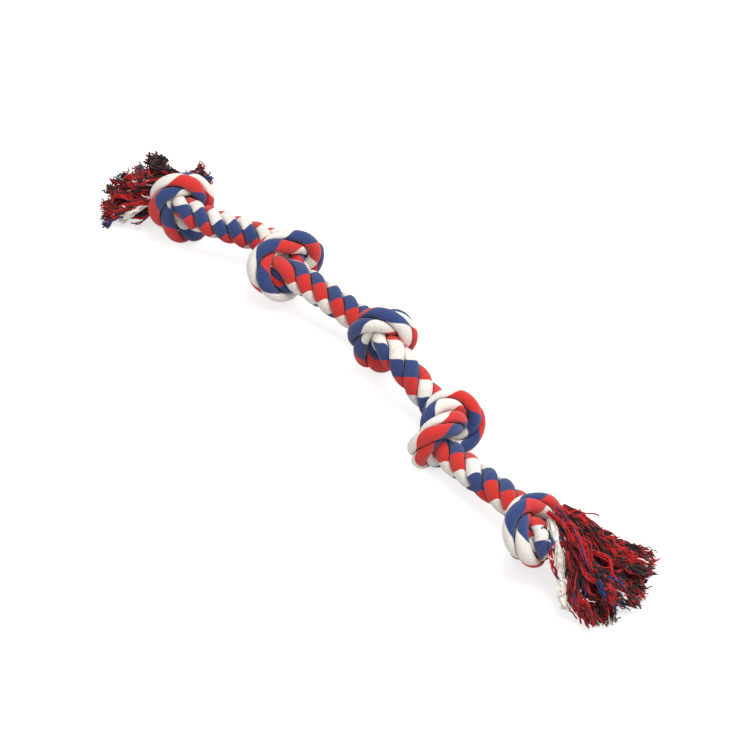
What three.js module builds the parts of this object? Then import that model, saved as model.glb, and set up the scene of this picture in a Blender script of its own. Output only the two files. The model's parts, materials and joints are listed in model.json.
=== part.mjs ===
// A rope dog toy: one three-strand cotton rope with five overhand knots and two frayed ends.
// Millimetres, +Z up. The row of knots runs along X with knot 1 at its low end, and lies on z = 0.
import * as THREE from "three";

// The rope
const ROPE_DIAMETER = 24;
const KNOT_ROPE_DIAMETER = 20; // pulled tight inside a knot
const KNOT_PASS_SPACING = 17; // middle of one pass to the middle of the next, inside a knot
const TIGHTENING_RUN = 16; // length over which the rope narrows as it enters a knot
const KNOT_LAY = 85; // one full turn of the strands inside a knot
const STRAND_COUNT = 3;
const STRAND_NAMES = ["a", "b", "c"];
const START_TURN = THREE.MathUtils.degToRad(40); // where strand a stands at the first knot
const STRAND_GAP = 0.5; // from one strand to the next, everywhere
const CUT_GAP = 0.3; // between the pieces that a strand is divided into
const FLOOR_PRESS = ROPE_DIAMETER / 10; // how far each knot is pressed flat where it lies

// The five knots: how far each stands from the one before, how far the row bows sideways,
// and how the knot lies: rolled about the rope, tilted with its near side up, and turned from the row
const FIRST_SPACING = 98;
const SECOND_SPACING = 110;
const THIRD_SPACING = 95;
const FOURTH_SPACING = 112;
const ROW_BOW = 32;
const KNOTS = [
  { name: "knot_1", spacing: 0, bowShare: 0, mirrored: false, roll: 115, tilt: 28, turn: -25 },
  { name: "knot_2", spacing: FIRST_SPACING, bowShare: 0.81, mirrored: true, roll: 172, tilt: 28, turn: -25 },
  { name: "knot_3", spacing: SECOND_SPACING, bowShare: 1, mirrored: false, roll: 105, tilt: 14, turn: -22 },
  { name: "knot_4", spacing: THIRD_SPACING, bowShare: 0.44, mirrored: false, roll: 190, tilt: 14, turn: -10 },
  { name: "knot_5", spacing: FOURTH_SPACING, bowShare: 0, mirrored: true, roll: 146, tilt: 28, turn: 16 },
];

// The free stretches between the knots, each with its own lay: one full turn of the strands
const STRETCHES = [
  { name: "stretch_1_2", lay: 40.5 },
  { name: "stretch_2_3", lay: 47 },
  { name: "stretch_3_4", lay: 52 },
  { name: "stretch_4_5", lay: 53 },
];

// The rope's way through one tight overhand knot, from the middle of its loop to where it leaves,
// in pass spacings. The other half is the same, turned half a turn about z.
const HALF_KNOT_ROUTE = [
  [0, 0, 0.93],
  [-0.1, -0.8, 0.84],
  [-0.33, -1.37, 0.34],
  [-0.58, -1.37, -0.34],
  [-0.74, -0.85, -0.89],
  [-0.68, -0.15, -0.95],
  [-0.36, 0.37, -0.66],
  [0.12, 0.5, -0.2],
  [0.75, 0.46, 0.05],
  [1.45, 0.38, 0.1],
];

// How much of its knot's tilt and turn the end of each leg keeps
const LEG_FOLLOW_SHARE = 0.3;

// The frayed ends: a short neck of whole strands, then the loose yarns in separate locks
const NECK_LENGTH = 6;
const FAR_TASSEL_LENGTH = 48;
const NEAR_TASSEL_LENGTH = 68;
const LOCK_HALF_WIDTH = 17;
const LOCK_HALF_HEIGHT = 12;
const ROOT_SPREAD = 20; // how far apart the outer locks start
const TOP_LAYER_RISE = 20; // how far the upper locks lie above the lower ones
const LOCK_PRESS_SHARE = 0.28; // how much of a lower lock's half height is pressed flat on the floor

// Each lock: its bearing in degrees from the row's line, + to the left of the way out,
// its length and size as shares of the tassel's, and whether it lies on top
const FAR_LOCKS = [
  { name: "white_yarns", bearing: 60, lengthShare: 0.6, widthShare: 0.35, heightShare: 0.5, top: 0 },
  { name: "strand_a_yarns", bearing: 42, lengthShare: 0.78, widthShare: 0.8, heightShare: 0.9, top: 0 },
  { name: "strand_b_yarns", bearing: 12, lengthShare: 0.98, widthShare: 0.9, heightShare: 1, top: 0 },
  { name: "strand_c_yarns", bearing: -22, lengthShare: 1.1, widthShare: 0.9, heightShare: 1, top: 0 },
  { name: "blue_yarns", bearing: -80, lengthShare: 0.8, widthShare: 0.6, heightShare: 0.9, top: 0 },
  { name: "red_yarns", bearing: 0, lengthShare: 0.7, widthShare: 1, heightShare: 0.5, top: 1 },
];
const NEAR_LOCKS = [
  { name: "white_yarns", bearing: -15, lengthShare: 0.74, widthShare: 0.3, heightShare: 0.4, top: 0 },
  { name: "strand_a_yarns", bearing: 2, lengthShare: 0.91, widthShare: 0.9, heightShare: 0.95, top: 0 },
  { name: "strand_b_yarns", bearing: 25, lengthShare: 1, widthShare: 0.95, heightShare: 1, top: 0 },
  { name: "strand_c_yarns", bearing: 48, lengthShare: 1, widthShare: 0.95, heightShare: 0.95, top: 0 },
  { name: "blue_yarns", bearing: 14, lengthShare: 0.9, widthShare: 0.8, heightShare: 0.5, top: 1 },
  { name: "red_yarns", bearing: 42, lengthShare: 0.92, widthShare: 1, heightShare: 0.55, top: 1 },
];

// A lock's half width and half height along its length, as shares of its full size
const LOCK_SWELL_SHARES = [0.74, 0.86, 0.96, 1, 0.92, 0.66];

// How finely the surfaces are drawn
const ROUTE_STEPS = 20; // between two points of the route
const RING_STEP = 7;
const RINGS_PER_TURN = 12;
const SAMPLE_STEP = 1.6;
const RING_POINTS = 8;
const LOCK_POINTS = 10;
const NEARBY = 26; // how far away another strand can still press on this one
const OWN_REACH = 14; // a strand doesn't press on itself this close along its length
const EASING = 0.97;
const EASING_ROUNDS = 80;
const SETTLING_ROUNDS = 3;

const UP = new THREE.Vector3(0, 0, 1);

const COLOURS = {
  a: new THREE.Color(0.78, 0.16, 0.14),
  b: new THREE.Color(0.88, 0.85, 0.82),
  c: new THREE.Color(0.2, 0.27, 0.5),
  strand_a_yarns: new THREE.Color(0.42, 0.08, 0.09),
  strand_b_yarns: new THREE.Color(0.42, 0.08, 0.09),
  strand_c_yarns: new THREE.Color(0.42, 0.08, 0.09),
  red_yarns: new THREE.Color(0.72, 0.12, 0.13),
  white_yarns: new THREE.Color(0.88, 0.85, 0.82),
  blue_yarns: new THREE.Color(0.16, 0.21, 0.42),
};
const YARN_ROUGHNESS = 0.95;

// The whole overhand knot, centred on the origin, with its legs along x
function knotRoute(mirrored) {
  const hand = mirrored ? -1 : 1;
  const leaving = HALF_KNOT_ROUTE.map(([x, y, z]) => new THREE.Vector3(x, y, hand * z));
  const entering = leaving.slice(1).reverse().map((p) => new THREE.Vector3(-p.x, -p.y, p.z));
  return entering.concat(leaving).map((p) => p.multiplyScalar(KNOT_PASS_SPACING));
}

// Where the five knots stand on the floor
function knotPlaces() {
  let along = 0;
  const places = KNOTS.map((knot) => {
    along += knot.spacing;
    return new THREE.Vector3(along, knot.bowShare * ROW_BOW, 0);
  });
  const middle = along / 2;
  return places.map((p) => p.setX(p.x - middle));
}

// Which way the row runs at a knot: from the knot before to the knot after
function knotHeading(places, index) {
  const before = places[Math.max(index - 1, 0)];
  const after = places[Math.min(index + 1, places.length - 1)];
  return Math.atan2(after.y - before.y, after.x - before.x);
}

// How a knot lies: rolled over, then tilted, then turned to the row and from it
function knotTurn(knot, heading, share) {
  const turn = new THREE.Matrix4().makeRotationZ(heading + THREE.MathUtils.degToRad(knot.turn * share));
  turn.multiply(new THREE.Matrix4().makeRotationY(-THREE.MathUtils.degToRad(knot.tilt * share)));
  return turn.multiply(new THREE.Matrix4().makeRotationX(THREE.MathUtils.degToRad(knot.roll)));
}

// A knot's route moved to its place; its legs' ends lie nearly along the row, to lead on smoothly
function placedKnot(places, index, lift) {
  const knot = KNOTS[index];
  const heading = knotHeading(places, index);
  const shift = new THREE.Vector3(0, 0, lift).add(places[index]);
  const route = knotRoute(knot.mirrored);
  return route.map((point, k) => {
    const isEnd = k === 0 || k === route.length - 1;
    return point.applyMatrix4(knotTurn(knot, heading, isEnd ? LEG_FOLLOW_SHARE : 1)).add(shift);
  });
}

// The whole rope's route, and the points of it where each knot begins and ends
function ropeRoute(lifts) {
  const places = knotPlaces();
  const points = [];
  const ends = [];
  KNOTS.forEach((knot, index) => {
    const placed = placedKnot(places, index, lifts[index]);
    ends.push([points.length, points.length + placed.length - 1]);
    points.push(...placed);
  });
  const first = points[0].clone().sub(points[1]).setLength(NECK_LENGTH).add(points[0]);
  const last = points.at(-1).clone().sub(points.at(-2)).setLength(NECK_LENGTH).add(points.at(-1));
  return { points: [first, ...points, last], ends: ends.map(([a, b]) => [a + 1, b + 1]) };
}

// The rope's middle line as a dense list of stations, each with its own turning frame
function ropeStations(route) {
  const curve = new THREE.CatmullRomCurve3(route.points, false, "centripetal");
  const count = (route.points.length - 1) * ROUTE_STEPS;
  const stations = [];
  let along = 0;
  for (let k = 0; k <= count; k += 1) {
    const point = curve.getPoint(k / count);
    const tangent = curve.getTangent(k / count);
    const before = stations.at(-1);
    along += before ? before.point.distanceTo(point) : 0;
    const side = before ? before.side.clone() : UP.clone();
    side.addScaledVector(tangent, -side.dot(tangent)).normalize();
    stations.push({ along, point, tangent, side, turn: 0, tight: 0 });
  }
  return stations;
}

function smoothShare(distance) {
  return THREE.MathUtils.smoothstep(distance / TIGHTENING_RUN, 0, 1);
}

// How tight the rope is pulled at a place along it: 0 on a free stretch, 1 inside a knot
function tightness(along, knotSpans) {
  const inside = knotSpans.map(([from, to]) => Math.min(smoothShare(along - from), smoothShare(to - along)));
  return Math.max(...inside);
}

// The lay of the free stretch nearest to a place along the rope
function freeLay(along, knotSpans) {
  const passed = knotSpans.filter(([from, to]) => along > (from + to) / 2).length;
  const index = THREE.MathUtils.clamp(passed - 1, 0, STRETCHES.length - 1);
  return STRETCHES[index].lay;
}

// Lays the strands up: a right-handed turn that quickens on the free stretches
function layStrands(stations, knotSpans) {
  let turn = START_TURN;
  stations.forEach((station, k) => {
    const tight = tightness(station.along, knotSpans);
    const run = k ? station.along - stations[k - 1].along : 0;
    turn += (run * 2 * Math.PI) / THREE.MathUtils.lerp(freeLay(station.along, knotSpans), KNOT_LAY, tight);
    station.turn = turn;
    station.tight = tight;
  });
}

// The rope's section at any place along it
function sectionAt(stations, along) {
  let low = 0;
  let high = stations.length - 1;
  while (high - low > 1) {
    const middle = (low + high) >> 1;
    if (stations[middle].along > along) high = middle;
    else low = middle;
  }
  const a = stations[low];
  const b = stations[high];
  const t = THREE.MathUtils.clamp((along - a.along) / (b.along - a.along), 0, 1);
  const point = a.point.clone().lerp(b.point, t);
  const tangent = a.tangent.clone().lerp(b.tangent, t).normalize();
  const side = a.side.clone().lerp(b.side, t);
  side.addScaledVector(tangent, -side.dot(tangent)).normalize();
  const turn = THREE.MathUtils.lerp(a.turn, b.turn, t);
  const tight = THREE.MathUtils.lerp(a.tight, b.tight, t);
  const radius = THREE.MathUtils.lerp(ROPE_DIAMETER, KNOT_ROPE_DIAMETER, tight) / 2;
  return { point, tangent, side, turn, radius };
}

// Three equal circles that just fit in the rope's circle: their radius, and how far out they stand
const STRAND_RADIUS_SHARE = Math.sqrt(3) / (2 + Math.sqrt(3));
const STRAND_OFFSET_SHARE = 1 - STRAND_RADIUS_SHARE;

// One strand's section at a place along the rope: its middle, and its outward and sideways axes
function strandSection(stations, strand, along, lay) {
  const rope = sectionAt(stations, along);
  const angle = rope.turn + (strand * 2 * Math.PI) / STRAND_COUNT;
  const across = new THREE.Vector3().crossVectors(rope.tangent, rope.side);
  const out = rope.side.clone().multiplyScalar(Math.cos(angle)).addScaledVector(across, Math.sin(angle));
  const sideways = new THREE.Vector3().crossVectors(rope.tangent, out);
  const offset = STRAND_OFFSET_SHARE * rope.radius;
  const middle = rope.point.clone().addScaledVector(out, offset);
  const high = STRAND_RADIUS_SHARE * rope.radius;
  const slant = (2 * Math.PI * offset) / lay;
  const wide = high * Math.hypot(1, slant);
  return { along, middle, out, sideways, high, wide };
}

// The rays of a section: its corners' directions, and how long each may be before it is pressed
function sectionRays(section, count) {
  const rays = [];
  for (let k = 0; k < count; k += 1) {
    const angle = (k * 2 * Math.PI) / count;
    const direction = section.out.clone().multiplyScalar(Math.cos(angle));
    direction.addScaledVector(section.sideways, Math.sin(angle));
    const reach = 1 / Math.hypot(Math.cos(angle) / section.high, Math.sin(angle) / section.wide);
    const floor = direction.z < 0 ? section.middle.z / -direction.z : Infinity;
    rays.push({ direction, reach: Math.min(reach, floor) });
  }
  return rays;
}

function cornerOf(section, k) {
  const ray = section.rays[k];
  return section.middle.clone().addScaledVector(ray.direction, ray.reach);
}

// The middle points of every other line that could press on this section
function neighboursOf(section, line, lines) {
  const near = [];
  for (const other of lines) {
    for (const sample of other.samples) {
      const own = other.rope === line.rope && other.strand === line.strand;
      if (own && Math.abs(sample.along - section.along) < OWN_REACH) continue;
      if (sample.middle.distanceTo(section.middle) < NEARBY) near.push(sample.middle);
    }
  }
  return near;
}

// The line's own middle points beside this section
function ownMiddles(section, line) {
  return line.samples.filter((s) => Math.abs(s.along - section.along) < OWN_REACH).map((s) => s.middle);
}

// True where a point lies nearer to its own strand's middle than to any other's, with the gap left
function isClear(point, section) {
  const own = Math.min(...section.own.map((p) => p.distanceTo(point)));
  return section.near.every((p) => p.distanceTo(point) - own > STRAND_GAP);
}

// Shortens each ray until its corner is clear of the neighbours
function pressSection(section) {
  for (const ray of section.rays) {
    const full = ray.reach;
    while (!isClear(section.middle.clone().addScaledVector(ray.direction, ray.reach), section)) {
      ray.reach *= EASING;
      if (ray.reach < full * (1 - EASING)) break;
    }
  }
}

// Eases the corners on both sides of an edge until the middle of the edge is clear too
function easeEdges(sections) {
  const count = sections[0].rays.length;
  for (let round = 0; round < EASING_ROUNDS; round += 1) {
    let pressed = 0;
    for (let s = 0; s + 1 < sections.length; s += 1) {
      const [a, b] = [sections[s], sections[s + 1]];
      for (let k = 0; k < count; k += 1) {
        for (const m of [k, (k + 1) % count]) {
          const middle = cornerOf(a, k).lerp(cornerOf(b, m), 0.5);
          if (isClear(middle, a) && isClear(middle, b)) continue;
          a.rays[k].reach *= EASING;
          b.rays[m].reach *= EASING;
          pressed += 1;
        }
      }
    }
    if (!pressed) return;
  }
}

// A closed skin over a row of sections, with flat ends
function skin(sections) {
  const count = sections[0].rays.length;
  const positions = [];
  for (const section of sections) {
    for (let k = 0; k < count; k += 1) positions.push(...cornerOf(section, k).toArray());
  }
  const faces = [];
  for (let s = 0; s + 1 < sections.length; s += 1) {
    for (let k = 0; k < count; k += 1) {
      const a = s * count + k;
      const b = s * count + ((k + 1) % count);
      faces.push(a, b, b + count, a, b + count, a + count);
    }
  }
  const start = positions.length / 3;
  positions.push(...sections[0].middle.toArray(), ...sections.at(-1).middle.toArray());
  const lastRing = (sections.length - 1) * count;
  for (let k = 0; k < count; k += 1) {
    const next = (k + 1) % count;
    faces.push(start, next, k, start + 1, lastRing + k, lastRing + next);
  }
  const geometry = new THREE.BufferGeometry();
  geometry.setAttribute("position", new THREE.Float32BufferAttribute(positions, 3));
  geometry.setIndex(faces);
  geometry.computeVertexNormals();
  return geometry;
}

function yarnMaterial(colour) {
  return new THREE.MeshStandardMaterial({ color: colour, roughness: YARN_ROUGHNESS, metalness: 0 });
}

// Places along a line from one end to the other, about one step apart
function placesAlong(from, to, step) {
  const count = Math.max(Math.round((to - from) / step), 1);
  return Array.from({ length: count + 1 }, (_, k) => THREE.MathUtils.lerp(from, to, k / count));
}

// The pieces that the rope is divided into, each with its span along the rope
function ropePieces(spans, total) {
  const pieces = [{ name: "far_neck", from: 0, to: spans[0][0] }];
  spans.forEach(([from, to], k) => {
    pieces.push({ name: KNOTS[k].name, from, to });
    const next = spans[k + 1];
    if (next) pieces.push({ name: STRETCHES[k].name, from: to, to: next[0] });
  });
  pieces.push({ name: "near_neck", from: spans.at(-1)[1], to: total });
  return pieces;
}

// The three strands of every piece of the rope
function strandLines(stations, pieces, spans) {
  const lines = [];
  for (const piece of pieces) {
    const lay = piece.name.startsWith("knot") ? KNOT_LAY : freeLay((piece.from + piece.to) / 2, spans);
    const first = piece.from + CUT_GAP / 2;
    const last = piece.to - CUT_GAP / 2;
    STRAND_NAMES.forEach((letter, strand) => {
      const section = (along) => strandSection(stations, strand, along, lay);
      const step = Math.min(RING_STEP, lay / RINGS_PER_TURN);
      const sections = placesAlong(first, last, step).map(section);
      const samples = placesAlong(piece.from, piece.to, SAMPLE_STEP).map(section);
      const name = `${piece.name}_strand_${letter}`;
      lines.push({ name, rope: true, strand, sections, samples, points: RING_POINTS, colour: COLOURS[letter] });
    });
  }
  return lines;
}

// How full a lock is at a place along it
function swellAt(share) {
  const place = share * (LOCK_SWELL_SHARES.length - 1);
  const step = Math.min(Math.floor(place), LOCK_SWELL_SHARES.length - 2);
  return THREE.MathUtils.lerp(LOCK_SWELL_SHARES[step], LOCK_SWELL_SHARES[step + 1], place - step);
}

// One lock of loose yarns: it leaves the neck, drops to the floor and fans out
function lockLine(end, lock, tasselLength, label, order) {
  const bearing = end.heading + THREE.MathUtils.degToRad(lock.bearing);
  const away = new THREE.Vector3(Math.cos(bearing), Math.sin(bearing), 0);
  const left = new THREE.Vector3(-Math.sin(end.heading), Math.cos(end.heading), 0);
  const length = tasselLength * lock.lengthShare;
  const high = LOCK_HALF_HEIGHT * lock.heightShare;
  const wide = LOCK_HALF_WIDTH * lock.widthShare;
  const rest = high * (1 - LOCK_PRESS_SHARE) + lock.top * TOP_LAYER_RISE;
  const start = end.point.clone().addScaledVector(left, ROOT_SPREAD * Math.sin(bearing - end.heading));
  start.z += lock.top ? LOCK_HALF_HEIGHT / 2 : -LOCK_HALF_HEIGHT / 4;
  const dropShares = [0, 0.3, 0.75, 1];
  const points = dropShares.map((drop, k) => {
    const point = start.clone().addScaledVector(away, (length * k) / (dropShares.length - 1));
    return point.setZ(THREE.MathUtils.lerp(start.z, rest, drop));
  });
  const curve = new THREE.CatmullRomCurve3(points, false, "centripetal");
  const sectionAtShare = (share) => {
    const tangent = curve.getTangentAt(share);
    const out = UP.clone().addScaledVector(tangent, -tangent.z).normalize();
    const sideways = new THREE.Vector3().crossVectors(tangent, out);
    const swell = swellAt(share);
    const middle = curve.getPointAt(share);
    middle.z -= rest * share * (1 - swell);
    return { along: share * length, middle, out, sideways, high: high * swell, wide: wide * swell };
  };
  const firstShare = CUT_GAP / length;
  const spread = (step) => placesAlong(firstShare, 1, step / length).map(sectionAtShare);
  return {
    name: `${label}_${lock.name}`,
    rope: false,
    strand: `${label}${order}`,
    sections: spread(RING_STEP),
    samples: spread(SAMPLE_STEP),
    points: LOCK_POINTS,
    colour: COLOURS[lock.name],
  };
}

// Where the rope's neck ends and its yarns begin
function ropeEnd(stations, last) {
  const station = last ? stations.at(-1) : stations[0];
  const way = station.tangent.clone().multiplyScalar(last ? 1 : -1);
  return { point: station.point.clone().addScaledVector(way, CUT_GAP), heading: last ? 0 : Math.PI };
}

// A piece of rope's hinge places: a share of the way along it, with the heading there
function hingePlace(stations, from, to, share) {
  const rope = sectionAt(stations, THREE.MathUtils.lerp(from, to, share));
  return { point: rope.point, heading: Math.atan2(rope.tangent.y, rope.tangent.x) };
}

// The rope with its strands laid up, its knots at the given heights
function layRope(lifts) {
  const route = ropeRoute(lifts);
  const stations = ropeStations(route);
  const spans = route.ends.map(([a, b]) => [stations[a * ROUTE_STEPS].along, stations[b * ROUTE_STEPS].along]);
  layStrands(stations, spans);
  return { stations, spans };
}

// The height of the lowest strand on a span of the rope
function lowestStrand(stations, from, to) {
  let lowest = Infinity;
  for (const along of placesAlong(from, to, SAMPLE_STEP)) {
    for (let strand = 0; strand < STRAND_COUNT; strand += 1) {
      const section = strandSection(stations, strand, along, KNOT_LAY);
      const reach = Math.hypot(section.high * section.out.z, section.wide * section.sideways.z);
      lowest = Math.min(lowest, section.middle.z - reach);
    }
  }
  return lowest;
}

// Lowers each knot until its lowest strand is pressed into the floor
function settleRope() {
  const lifts = KNOTS.map(() => ROPE_DIAMETER);
  for (let round = 0; round < SETTLING_ROUNDS; round += 1) {
    const { stations, spans } = layRope(lifts);
    spans.forEach(([from, to], k) => {
      lifts[k] -= lowestStrand(stations, from, to) + FLOOR_PRESS;
    });
  }
  return layRope(lifts);
}

function buildLines() {
  const { stations, spans } = settleRope();
  const pieces = ropePieces(spans, stations.at(-1).along);
  const lines = strandLines(stations, pieces, spans);
  const far = ropeEnd(stations, false);
  const near = ropeEnd(stations, true);
  FAR_LOCKS.forEach((lock, k) => lines.push(lockLine(far, lock, FAR_TASSEL_LENGTH, "far_tassel", k)));
  NEAR_LOCKS.forEach((lock, k) => lines.push(lockLine(near, lock, NEAR_TASSEL_LENGTH, "near_tassel", k)));
  return { lines, stations, pieces, far, near };
}

function printPlace(label, point, heading) {
  const place = point.toArray().map((x) => x.toFixed(2));
  console.log(label, place.join(" "), "heading", THREE.MathUtils.radToDeg(heading).toFixed(2));
}

const { lines, stations, pieces, far, near } = buildLines();
const group = new THREE.Group();
group.name = "rope_dog_toy";

for (const line of lines) {
  for (const section of line.sections) {
    section.rays = sectionRays(section, line.points);
    section.near = neighboursOf(section, line, lines);
    section.own = ownMiddles(section, line);
    pressSection(section);
  }
  easeEdges(line.sections);
  const mesh = new THREE.Mesh(skin(line.sections), yarnMaterial(line.colour));
  mesh.name = line.name;
  group.add(mesh);
}

// Stands the part over the origin: the middle of its box, on the floor
const box = new THREE.Box3().setFromObject(group);
const middle = box.getCenter(new THREE.Vector3());
group.position.set(-middle.x, -middle.y, -box.min.z);
group.updateMatrixWorld(true);

printPlace("shift of the part", group.position, 0);
printPlace("far neck ends", far.point.clone().add(group.position), far.heading);
printPlace("near neck ends", near.point.clone().add(group.position), near.heading);
for (const piece of pieces) {
  for (const share of [0, 0.25, 0.75, 1]) {
    const place = hingePlace(stations, piece.from, piece.to, share);
    printPlace(`${piece.name} at ${share}`, place.point.clone().add(group.position), place.heading);
  }
  console.log(piece.name, "length", (piece.to - piece.from).toFixed(1));
}
const triangles = group.children.reduce((sum, mesh) => sum + mesh.geometry.index.count / 3, 0);
console.log("nodes", group.children.length, "triangles", triangles, "rope length", stations.at(-1).along.toFixed(1));

export default group;
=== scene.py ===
"""A rope dog toy: three-strand cotton rope, five overhand knots and two frayed ends."""

import json
import math

import bpy
import numpy as np
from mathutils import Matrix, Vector


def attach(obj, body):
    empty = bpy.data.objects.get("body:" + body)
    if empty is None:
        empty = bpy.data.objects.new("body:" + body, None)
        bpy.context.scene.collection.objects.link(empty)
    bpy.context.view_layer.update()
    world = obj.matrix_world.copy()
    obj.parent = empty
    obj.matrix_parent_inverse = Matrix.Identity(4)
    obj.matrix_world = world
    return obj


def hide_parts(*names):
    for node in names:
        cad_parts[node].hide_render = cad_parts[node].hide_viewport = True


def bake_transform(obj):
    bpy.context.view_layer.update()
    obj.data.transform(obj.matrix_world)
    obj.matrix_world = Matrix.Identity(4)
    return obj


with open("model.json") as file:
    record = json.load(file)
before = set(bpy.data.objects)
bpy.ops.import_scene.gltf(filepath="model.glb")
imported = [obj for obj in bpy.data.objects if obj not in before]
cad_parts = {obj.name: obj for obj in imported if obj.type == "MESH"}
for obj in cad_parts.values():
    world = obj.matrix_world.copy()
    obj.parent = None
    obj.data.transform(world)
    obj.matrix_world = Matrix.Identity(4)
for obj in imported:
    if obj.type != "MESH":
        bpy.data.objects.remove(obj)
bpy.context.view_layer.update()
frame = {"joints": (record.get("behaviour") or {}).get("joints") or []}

bl_info = {
    "name": "Rope Dog Toy",
    "version": (1, 0, 0),
    "blender": (4, 5, 0),
    "location": "3D Viewport > Sidebar > Rope Toy",
    "description": "Builds a knotted three-strand rope toy and a studio round it",
    "category": "Object",
}

# Sizes and route of the rope, in metres, as the solid model has them
ROPE_DIAMETER = 0.024
KNOT_ROPE_DIAMETER = 0.020
KNOT_PASS_SPACING = 0.017
TIGHTENING_RUN = 0.016
KNOT_LAY = 0.085
NECK_LENGTH = 0.006
CUT_GAP = 0.0003
STRAND_LETTERS = "abc"
STRAND_COUNT = len(STRAND_LETTERS)
FLOOR_PRESS = ROPE_DIAMETER / 10
START_TURN = math.radians(40)
ROW_BOW = 0.032
# name, spacing from the knot before, share of the bow, mirrored, then roll, tilt and turn in degrees
KNOTS = [
    ("knot_1", 0.0, 0.0, False, 115, 28, -25),
    ("knot_2", 0.098, 0.81, True, 172, 28, -25),
    ("knot_3", 0.110, 1.0, False, 105, 14, -22),
    ("knot_4", 0.095, 0.44, False, 190, 14, -10),
    ("knot_5", 0.112, 0.0, True, 146, 28, 16),
]
KNOT_NAMES = [knot[0] for knot in KNOTS]
LEG_FOLLOW_SHARE = 0.3  # how much of its knot's tilt and turn the end of each leg keeps
STRETCHES = ["stretch_1_2", "stretch_2_3", "stretch_3_4", "stretch_4_5"]
STRETCH_LAYS = [0.0405, 0.047, 0.052, 0.053]
# One half of the way through a knot, in pass spacings
HALF_KNOT_ROUTE = np.array([
    (0, 0, 0.93),
    (-0.1, -0.8, 0.84),
    (-0.33, -1.37, 0.34),
    (-0.58, -1.37, -0.34),
    (-0.74, -0.85, -0.89),
    (-0.68, -0.15, -0.95),
    (-0.36, 0.37, -0.66),
    (0.12, 0.5, -0.2),
    (0.75, 0.46, 0.05),
    (1.45, 0.38, 0.1),
])
ROUTE_STEPS = 20
SAMPLE_STEP = 0.0016
SETTLING_ROUNDS = 3
HINGE_SHARE = 0.75  # how far along the second stretch its sideways hinge stands

# Tassels: the locks as the solid model has them
FAR_TASSEL_LENGTH = 0.048
NEAR_TASSEL_LENGTH = 0.068
LOCK_HALF_WIDTH = 0.017
LOCK_HALF_HEIGHT = 0.012
ROOT_SPREAD = 0.020
TOP_LAYER_RISE = 0.020
LOCK_PRESS_SHARE = 0.28
LOCK_SWELL_SHARES = [0.74, 0.86, 0.96, 1, 0.92, 0.66]
# name, bearing in degrees, length share, width share, height share, top layer
FAR_LOCKS = [
    ("white_yarns", 60, 0.6, 0.35, 0.5, 0),
    ("strand_a_yarns", 42, 0.78, 0.8, 0.9, 0),
    ("strand_b_yarns", 12, 0.98, 0.9, 1.0, 0),
    ("strand_c_yarns", -22, 1.1, 0.9, 1.0, 0),
    ("blue_yarns", -80, 0.8, 0.6, 0.9, 0),
    ("red_yarns", 0, 0.7, 1.0, 0.5, 1),
]
NEAR_LOCKS = [
    ("white_yarns", -15, 0.74, 0.3, 0.4, 0),
    ("strand_a_yarns", 2, 0.91, 0.9, 0.95, 0),
    ("strand_b_yarns", 25, 1.0, 0.95, 1.0, 0),
    ("strand_c_yarns", 48, 1.0, 0.95, 0.95, 0),
    ("blue_yarns", 14, 0.9, 0.8, 0.5, 1),
    ("red_yarns", 42, 0.92, 1.0, 0.55, 1),
]
LOCK_DROPS = [0, 0.3, 0.75, 1]
TOP_LOCK_START = LOCK_HALF_HEIGHT / 2  # where a top lock leaves the neck, above its middle
LOW_LOCK_START = -LOCK_HALF_HEIGHT / 4

# How finely the strands are drawn, and how they press on each other
RING_STEP = 0.0013
RING_POINTS = 28
STRAND_FULLNESS = 1.06  # how much wider a soft strand is than a round one that just fits
STRAND_BEND_LIMIT = math.radians(62)  # how far round the rope half a strand reaches
PRESS_GAP = 0.00012
PRESS_REACH = 1.6  # how far out a neighbour is looked for, in times the strand's own reach there
PRESS_ROUNDS = 10
LEAST_REACH = 0.02
LEAST_SLOPE = 0.0001
PRESS_SOFTNESS = 10  # lower rounds the pressed edges more
NEARBY = 0.022  # how far away another strand can still press on this one
OWN_REACH = 0.014  # a strand doesn't press on itself this close along its length

# The colours turn against the lay, so that the bands run nearly along the rope
BAND_TURN = 2.0
# How far the bands of strands a, b and c are turned on each stretch, in degrees
BAND_OFFSETS = [(260, 190, 70), (60, 280, 140), (210, 220, 340), (210, 270, 120)]
KNOT_BAND_SHIFTS = [-150, 150, -30, 30, -140]  # how much more inside each knot, in degrees
KNOT_BAND_RUN = 0.03  # the length over which that comes in
YARNS_ROUND_STRAND = 26

UP = np.array([0.0, 0.0, 1.0])
NEARLY_UP = UP + 0.01  # no yarn lies exactly along this one

# The camera of the photograph
PHOTO_WIDTH = 750
SENSOR_WIDTH = 36
CAMERA_ELEVATION = math.radians(50)
CAMERA_HEADING = math.radians(140.2)
CAMERA_DISTANCE = 2.4
CAMERA_TARGET = (0.0040, 0.0214, 0.0)  # from the middle of the row, on the floor
PIXELS_PER_METRE = 1304  # at the target


def spline(points, steps):
    """Centripetal Catmull-Rom through the points: places and directions."""
    ends = np.vstack([2 * points[0] - points[1], points, 2 * points[-1] - points[-2]])
    share = np.linspace(0, 1, steps, endpoint=False)[:, None]
    places, ways = [], []
    for a, b, c, d in zip(ends, ends[1:], ends[2:], ends[3:]):
        before, here, after = (math.sqrt(np.linalg.norm(q - p)) for p, q in ((a, b), (b, c), (c, d)))
        leave = ((b - a) / before - (c - a) / (before + here) + (c - b) / here) * here
        arrive = ((c - b) / here - (d - b) / (here + after) + (d - c) / after) * here
        square = 3 * (c - b) - 2 * leave - arrive
        cube = 2 * (b - c) + leave + arrive
        places.append(b + leave * share + square * share**2 + cube * share**3)
        ways.append(leave + 2 * square * share + 3 * cube * share**2)
    places.append(points[-1:])
    ways.append((leave + 2 * square + 3 * cube)[None])
    ways = np.vstack(ways)
    return np.vstack(places), ways / np.linalg.norm(ways, axis=1)[:, None]


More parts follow.
